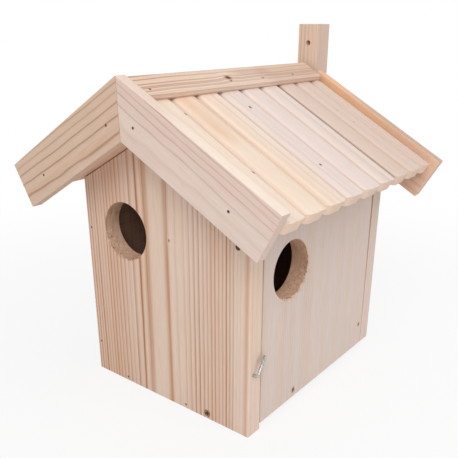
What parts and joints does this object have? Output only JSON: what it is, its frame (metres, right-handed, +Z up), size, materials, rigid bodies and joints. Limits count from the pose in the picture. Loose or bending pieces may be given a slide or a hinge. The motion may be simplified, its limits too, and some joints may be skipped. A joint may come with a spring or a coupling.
{
  "type": "squirrel house",
  "caption": "Small gabled wooden squirrel house with round entrances, grooved board roof, side door on nail pivots held by a turning hook, and a batten to hang it by.",
  "frame": {"origin": "under the middle of the whole outline, at the level of the front wall's foot", "axes": "+Z up, -Y towards the gable with the front entrance, +X towards the door"},
  "size_m": [0.2692, 0.254, 0.2951],
  "materials": {
    "wall_pine": "planed, untreated",
    "roof_pine": "planed, untreated",
    "trim_pine": "planed, untreated",
    "frame_pine": "sawn, untreated",
    "nail_steel": "bright drawn, dull",
    "screw_zinc": "zinc plated",
    "hook_wire": "zinc plated"
  },
  "bodies": {
    "house": {"back_barge_left": "trim_pine", "back_barge_right": "trim_pine", "back_wall": "wall_pine", "barge_brads": "nail_steel", "batten_screws": "screw_zinc", "door_pivot_nails": "nail_steel", "eave_purlin_left": "frame_pine", "eave_purlin_right": "frame_pine", "floor_panel": "wall_pine", "floor_screw": "screw_zinc", "front_barge_left": "trim_pine", "front_barge_right": "trim_pine", "front_wall": "wall_pine", "hanging_batten": "wall_pine", "left_wall": "wall_pine", "purlin_brads": "nail_steel", "ridge_cap_brads": "nail_steel", "ridge_cap_left": "trim_pine", "ridge_cap_right": "trim_pine", "ridge_purlin_left": "frame_pine", "ridge_purlin_right": "frame_pine", "roof_board_left_1": "roof_pine", "roof_board_left_2": "roof_pine", "roof_board_left_3": "roof_pine", "roof_board_right_1": "roof_pine", "roof_board_right_2": "roof_pine", "roof_board_right_3": "roof_pine", "roof_brads": "nail_steel", "wall_brads": "nail_steel"},
    "door": {"side_door": "wall_pine"},
    "latch": {"latch_hook": "hook_wire"}
  },
  "joints": [
    {"name": "door_swing", "type": "hinge", "parent": "house", "child": "door", "pos_m": [0.0737, 0, 0.1532], "axis": [0, -1, 0], "range_deg": [0, 90]},
    {"name": "latch_turn", "type": "hinge", "parent": "house", "child": "latch", "pos_m": [0.085, -0.0865, 0.0535], "axis": [-1, 0, 0], "range_deg": [-60, 58]}
  ]
}
